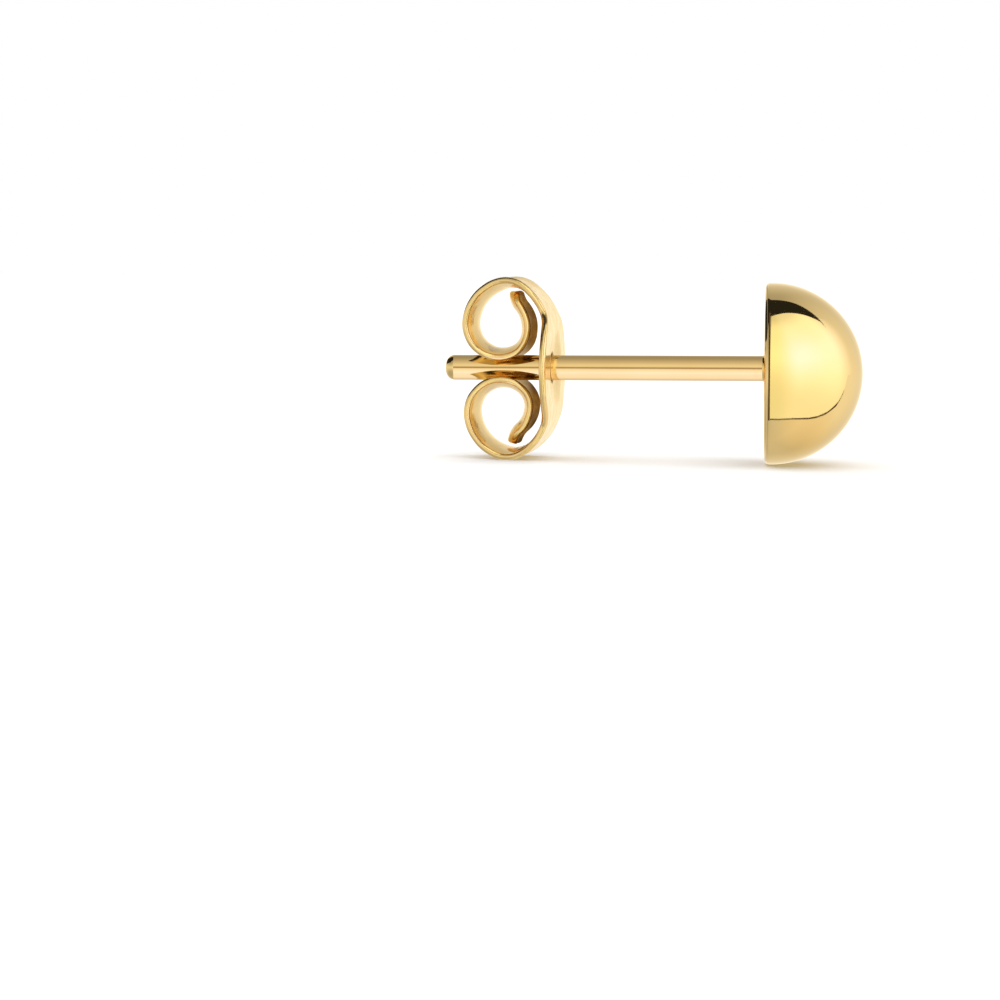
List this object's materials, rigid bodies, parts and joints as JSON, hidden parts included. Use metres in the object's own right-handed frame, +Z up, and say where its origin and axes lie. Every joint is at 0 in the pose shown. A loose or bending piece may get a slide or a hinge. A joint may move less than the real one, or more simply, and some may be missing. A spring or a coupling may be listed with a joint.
{
  "type": "stud earring",
  "caption": "Half-ball stud earring with a straight post and a sliding butterfly back with rolled arms.",
  "frame": {"origin": "bottom centre of the box of the earring at rest on a level surface, with the butterfly back on the post", "axes": "+X from the post's tip towards the ball's front, level; +Z up; +Y across the butterfly back's strip. At rest on the ball and the lower roll, the post leans 0.98 degrees with its tip down"},
  "size_m": [0.0138, 0.006, 0.006],
  "materials": {
    "polished_gold": "yellow gold, mirror polished",
    "tumbled_gold": "yellow gold, bright tumbled finish with soft edges"
  },
  "bodies": {
    "stud": {"half_ball_post": "polished_gold"},
    "butterfly": {"butterfly_back": "tumbled_gold"}
  },
  "joints": [
    {"name": "butterfly_slide", "type": "slide", "parent": "stud", "child": "butterfly", "axis": [0.9999, 0, 0.0171], "range_m": [-0.0042, 0.0066]}
  ]
}
